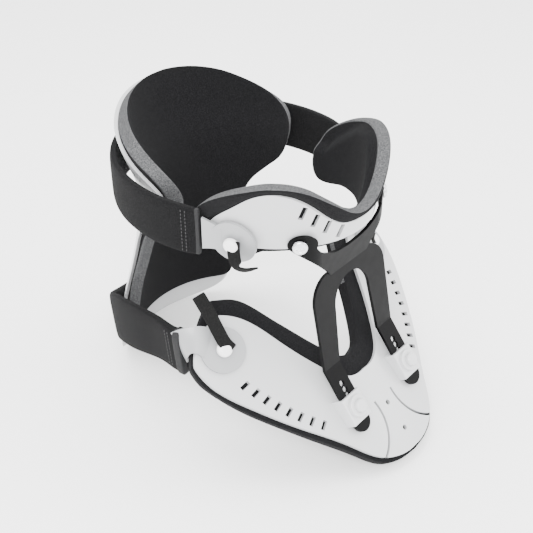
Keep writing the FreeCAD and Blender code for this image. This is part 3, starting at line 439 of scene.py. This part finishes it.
def chest_edge_painted_highlight(step, i, j):
    """Grey foam finish only on the upper part of the neck edge, in the outer half of each wing: a painted
    highlight along the rounded edge.
    """
    outer_half = abs(2 * i / CHEST_COLUMNS - 1) > 0.5
    return 1 if step in (1, 2) and j == CHEST_ROWS - 1 and outer_half else 0


chest_pad = slab("chest_pad_foam", CHEST_COLUMNS, CHEST_ROWS, chest_place, 9.7, 1.2, chest_edge_painted_highlight,
                 body="chest", slot="black_pad", stands_for=["chest_pad"])


# ---------------------------------------------------------------- strap sleeves

# Heights of the lower sleeves' edges by distance from the front.
LOWER_TOP = [(104, 57.5), (112, 57), (120, 55), (142, 51.5), (175, 44.5), (205, 31.5), (235, 8), (262, -17),
             (275, -25)]
LOWER_BOTTOM = [(108, 16.5), (112, 17.5), (138, 12), (172, -0.5), (205, -16.5), (232, -37.5), (262, -58.5),
                (275, -60)]
SLEEVE_STATIONS = 56
SLEEVE_END_X = 10.8
HALF_WALL = 3.3
FRONT_PINCH = 1.5
REAR_PINCH = 0.9
SPREAD_REACH = 24


def sleeve_path(side, middle, across, deep, start_y, end_x, count):
    """Half an ellipse from the front end at start_y to the rear at end_x, evenly stepped."""
    first = math.acos((middle - start_y) / deep)
    last = math.pi - math.asin(end_x / across)
    points = [(side * across * math.sin(a), middle - deep * math.cos(a))
              for a in (first + (last - first) * k / 60 for k in range(61))]
    return [(p.x, p.y) for p in spline([(x, y, 0) for x, y in points], count)]


def stitches(name, points, normals, body, slot, length=1.7, gap=1.0, radius=0.28):
    """Short thread dashes along a line, standing a little proud of the cloth."""
    verts, faces = [], []
    reach = sum((b - a).length for a, b in zip(points, points[1:]))
    run = spline(points, max(3, int(reach * 1000 / (length + gap)) + 1))
    for a, b in zip(run, run[1:]):
        along = (b - a).normalized()
        mid = (a + b) / 2
        k = min(range(len(points)), key=lambda q: (points[q] - mid).length)
        up = normals[k].normalized()
        side = along.cross(up).normalized()
        base = len(verts)
        for end, scale in ((-0.5, 0.45), (-0.3, 1.0), (0.3, 1.0), (0.5, 0.45)):
            for m in range(6):
                angle = math.pi * m / 3
                spoke = side * math.cos(angle) + up * math.sin(angle)
                verts.append(mid + along * (end * length / 1000) + spoke * (radius * scale / 1000))
        for s in range(3):
            for m in range(6):
                nxt = (m + 1) % 6
                near, far = base + s * 6, base + (s + 1) * 6
                faces.append([near + m, near + nxt, far + nxt, far + m])
        faces.append([base + m for m in range(5, -1, -1)])
        faces.append([base + 18 + m for m in range(6)])
    return add_piece(name, verts, faces, [THREAD], body=body, slot=slot)


def build_sleeve(prefix, word, body, middle, across, deep, start_y, low, high, lean, spread=0.0, mouth=0.0):
    """spread moves the front end outwards and mouth makes it thicker, so that it takes in the tab's end."""
    side = SIDES[word]
    count = SLEEVE_STATIONS
    pinch_fade = 14 if mouth else 42
    flat = []
    for x, y in sleeve_path(side, middle, across, deep, start_y, SLEEVE_END_X, count):
        push = spread * math.exp(-((y - start_y) / SPREAD_REACH) ** 2) if y < middle + 60 else 0
        flat.append((x + side * push, y))

    def puff(t):
        """Half wall along the sleeve, pinched or opened at the front and pinched at the rear."""
        return (HALF_WALL - (FRONT_PINCH - mouth) * math.exp(-t * pinch_fade)
                - REAR_PINCH * math.exp(-(1 - t) * 30))

    path, ups, halves = [], [], []
    for x, y in flat:
        bottom, top = low(y), high(y)
        path.append(at(x, y, (top + bottom) / 2))
        halves.append((top - bottom) / 2 * math.cos(lean(y)))
        ups.append(Vector((0, math.sin(lean(y)), math.cos(lean(y)))))

    def half_width(t):
        k = t * (count - 1)
        i = min(int(k), count - 2)
        base = halves[i] + (halves[i + 1] - halves[i]) * (k - i)
        return base - 1.4 * math.exp(-t * 30) - 1.0 * math.exp(-(1 - t) * 40) - 0.2

    name = "%s_strap_%s" % (prefix, word)
    piece = sweep(name + "_sleeve", path, ups, half_width, puff, SLEEVE, power=4.5, count=36, levels=1,
                  body=body, slot="black_sleeve", stands_for=[name])
    edge = spline(path[:4], 7)[:4]
    sweep(name + "_binding", edge, ups[:4], half_width(0) + 0.5, puff(0) + 0.55, BINDING, power=5, count=36,
          body=body, slot="black_sleeve")
    for label, offset in (("a", 0.055), ("b", 0.075)):
        k = max(1, round(offset * (count - 1)))
        along = (path[k + 1] - path[k - 1]).normalized()
        out = along.cross(ups[k]).normalized()
        if out.x * side < 0:
            out = -out
        w = half_width(k / (count - 1)) - 2.0
        lift = puff(k / (count - 1)) * 0.99
        line = [path[k] + (ups[k] * (w * s / 8) + out * lift) / 1000 for s in range(-8, 9)]
        stitches("%s_stitch_%s" % (name, label), line, [out] * len(line), body, "black_sleeve")


for word in SIDES:
    build_sleeve("upper", word, "upper_straps", 150, 88.4, 98.4, 112.6,
                 lambda y: 107.6, lambda y: 146.8, lambda y: 0.0)
    build_sleeve("lower", word, "chest", 140, 100.9, 122.4, 109.0,
                 lambda y: smooth_value(LOWER_BOTTOM, y - 1), lambda y: smooth_value(LOWER_TOP, y + 1),
                 lambda y: math.radians(7), spread=9.2, mouth=3.6)


# ---------------------------------------------------------------- pull tabs

PULL_STATIONS = 26


def build_pull(name, word, body, points, outs, width=5.0, wall=0.85):
    """A short webbing pull through the points; outs give the way its face looks at each of them."""
    side = SIDES[word]
    path = spline([at(side * x, y, z) for x, y, z in points], PULL_STATIONS)
    normals = spline([Vector((side * x, y, z)) for x, y, z in outs], PULL_STATIONS)
    last = PULL_STATIONS - 1
    ups = []
    for k, normal in enumerate(normals):
        along = (path[min(k + 1, last)] - path[max(k - 1, 0)]).normalized()
        ups.append(along.cross(normal).normalized())
    sweep(name, path, ups, width, wall, WEB, power=6, count=20, levels=1, body=body, slot="black_webbing",
          stands_for=["%s_pull_%s" % (name.split("_")[0], word)])


for word in SIDES:
    build_pull("lower_pull_%s_web" % word, word, "chest",
               [(90.5, 77.5, 45.5), (92.6, 82.5, 51.0), (93.5, 88.0, 60.0), (94.5, 94.0, 71.0),
                (95.5, 100.0, 80.0), (96.0, 103.5, 85.0)],
               [(0.3, -0.75, 0.6), (0.35, -0.8, 0.5), (0.45, -0.8, 0.4), (0.5, -0.8, 0.3),
                (0.5, -0.75, 0.45), (0.5, -0.75, 0.45)])
    build_pull("upper_pull_%s_web" % word, word, "upper_straps",
               [(75.2, 87.3, 127.0), (76.5, 86.6, 121.0), (78.0, 84.0, 114.0), (78.5, 80.0, 109.5),
                (77.5, 74.0, 110.5), (76.0, 68.0, 113.5)],
               [(0.95, -0.3, 0.0), (0.95, -0.35, 0.1), (0.9, -0.45, 0.1), (0.75, -0.5, -0.5),
                (0.4, -0.3, -0.85), (0.4, -0.3, -0.85)], width=4.6)


# ---------------------------------------------------------------- stage, light, camera

floor_mesh = bpy.data.meshes.new("floor")
reach, below = 4, -0.0005
floor_mesh.from_pydata([(-reach, -reach, below), (reach, -reach, below), (reach, reach, below),
                        (-reach, reach, below)], [], [(0, 1, 2, 3)])
floor_mesh.materials.append(material("floor_paper", (0.95, 0.95, 0.95), 0.9, specular=0.1))
floor = bpy.data.objects.new("floor", floor_mesh)
bpy.context.scene.collection.objects.link(floor)

world = bpy.data.worlds.new("studio")
bpy.context.scene.world = world
world.use_nodes = True
world.node_tree.nodes["Background"].inputs["Color"].default_value = (1, 1, 1, 1)
world.node_tree.nodes["Background"].inputs["Strength"].default_value = 3.1


def lamp(name, place, target, size, power):
    data = bpy.data.lights.new(name, "AREA")
    data.shape = "RECTANGLE"
    data.size, data.size_y = size
    data.energy = power
    obj = bpy.data.objects.new(name, data)
    bpy.context.scene.collection.objects.link(obj)
    obj.location = place
    obj.rotation_euler = (Vector(target) - Vector(place)).to_track_quat("-Z", "Y").to_euler()
    return obj


lamp("key", (-0.9, -0.7, 1.1), (0, 0, 0.12), (0.7, 0.5), 30)
lamp("fill", (0.9, -0.8, 0.8), (0, 0, 0.12), (0.8, 0.6), 9)
lamp("top", (0.0, 0.3, 1.3), (0, 0, 0.12), (0.9, 0.9), 18)

camera = bpy.data.cameras.new("camera")
camera.lens = 63.09
camera.sensor_width = 36.0
camera.clip_start = 0.01
eye = bpy.data.objects.new("camera", camera)
bpy.context.scene.collection.objects.link(eye)
right = Vector((0.643, -0.766, 0.0)).normalized()
back = Vector((-0.6275, -0.5265, 0.5736)).normalized()
up = back.cross(right).normalized()
right = up.cross(back).normalized()
turn = Matrix((right, up, back)).transposed().to_4x4()
eye.matrix_world = Matrix.Translation(at(-468.33, -271.81, 478.47)) @ turn
bpy.context.scene.camera = eye
